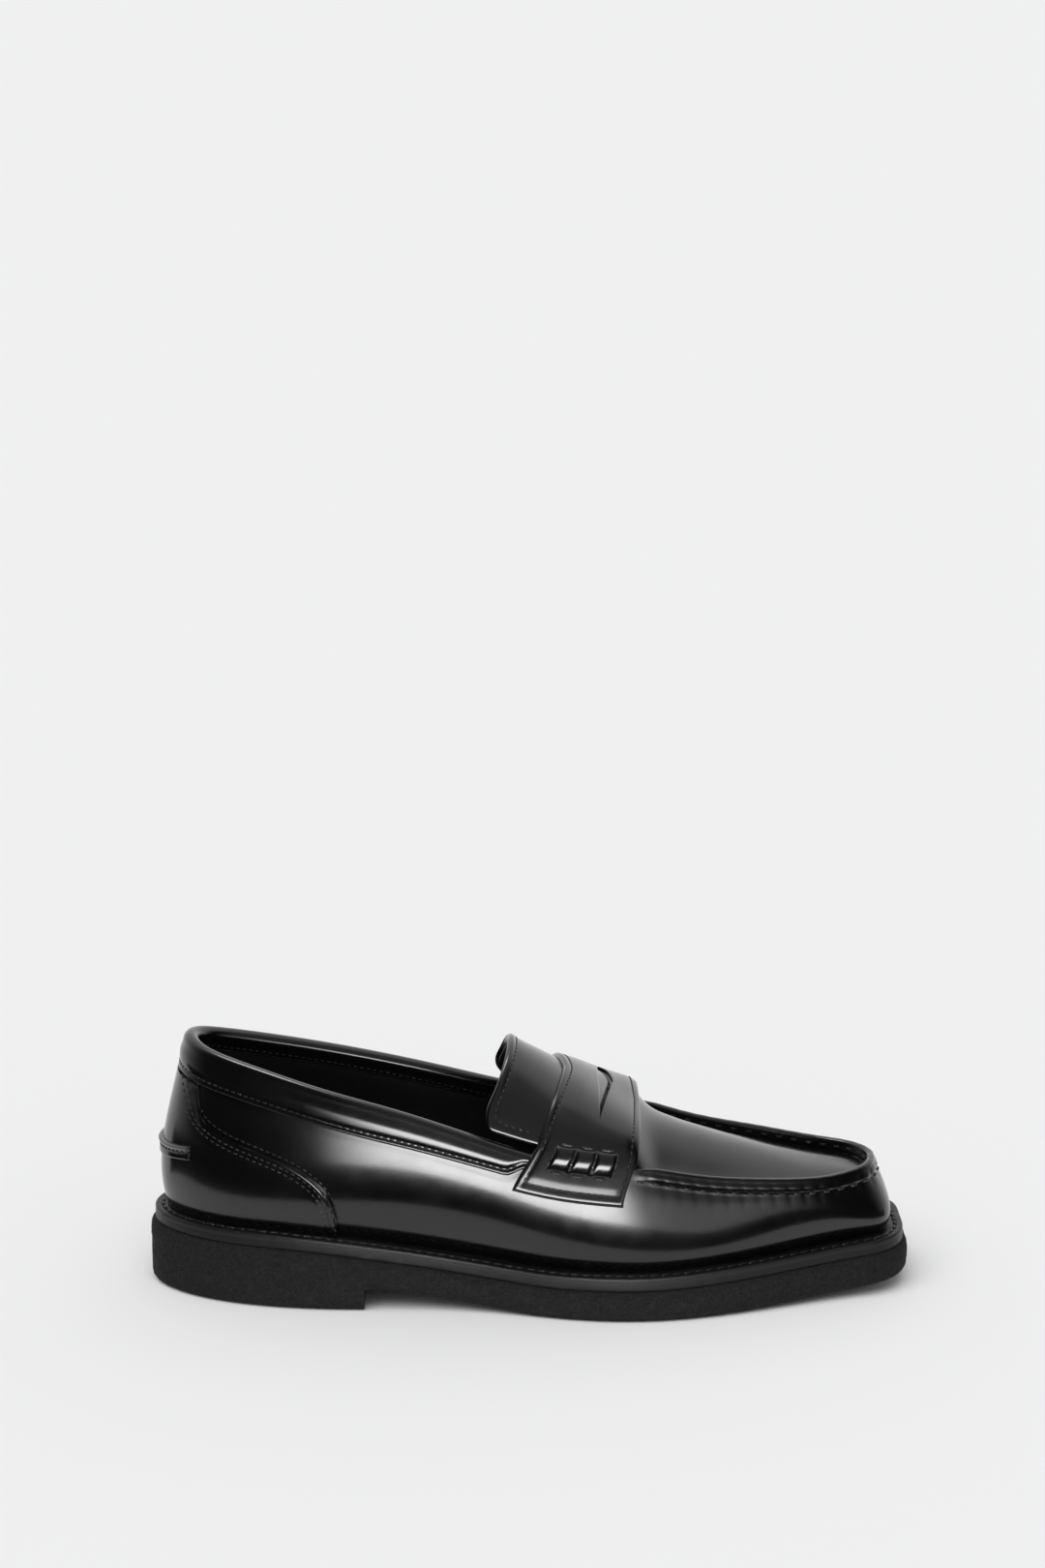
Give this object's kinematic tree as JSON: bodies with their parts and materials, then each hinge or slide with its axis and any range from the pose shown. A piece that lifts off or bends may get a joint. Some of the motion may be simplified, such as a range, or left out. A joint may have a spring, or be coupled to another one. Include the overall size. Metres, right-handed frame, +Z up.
{
  "type": "penny loafer",
  "caption": "Right moccasin-toe penny loafer with a saddle strap, stitched collar, heel counter overlay, welt and thick rubber sole.",
  "frame": {"origin": "middle of the sole's plan, on the ground", "axes": "+X toward the toe, +Y to the medial (inner) side, +Z up"},
  "size_m": [0.3001, 0.1024, 0.1017],
  "materials": {
    "upper_leather": "polished smooth black leather, high shine",
    "lining_leather": "soft black lining leather",
    "sole_rubber": "sanded microcellular rubber, matte and speckled",
    "edge_rubber": "smooth satin edge",
    "welt_rubber": "smooth satin welt",
    "thread": "waxed twisted thread",
    "cork": "granular cork",
    "fibre_board": "pressed fibre board",
    "stiffener": "bonded fibre sheet",
    "foam": "open-cell foam",
    "shank_steel": "ribbed spring steel"
  },
  "bodies": {
    "shoe": {"outsole": "sole_rubber", "heel_block": "sole_rubber", "midsole": "edge_rubber", "welt": "welt_rubber", "welt_stitching": "thread", "cork_filler": "cork", "shank": "shank_steel", "insole_board": "fibre_board", "insock": "lining_leather", "heel_pad": "foam", "quarter_lateral": "upper_leather", "quarter_medial": "upper_leather", "quarter_lining": "lining_leather", "counter_overlay": "upper_leather", "counter_stiffener": "stiffener", "heel_tab": "upper_leather", "collar_band": "upper_leather", "collar_foam": "foam", "vamp": "upper_leather", "apron": "upper_leather", "toe_puff": "stiffener", "vamp_lining": "lining_leather", "saddle_strap": "upper_leather", "beef_roll_lateral": "upper_leather", "beef_roll_medial": "upper_leather", "collar_stitching": "thread", "counter_stitching": "thread", "strap_stitching": "thread", "moc_seam_thread": "thread"},
    "tongue_flap": {"tongue": "upper_leather", "tongue_lining": "lining_leather", "tongue_stitching": "thread"}
  },
  "joints": [
    {"name": "tongue_lift", "type": "hinge", "parent": "shoe", "child": "tongue_flap", "pos_m": [0.0132, 0, 0.0861], "axis": [0, 1, 0], "range_deg": [0, 18], "stiffness_Nm_per_rad": 0.2}
  ]
}
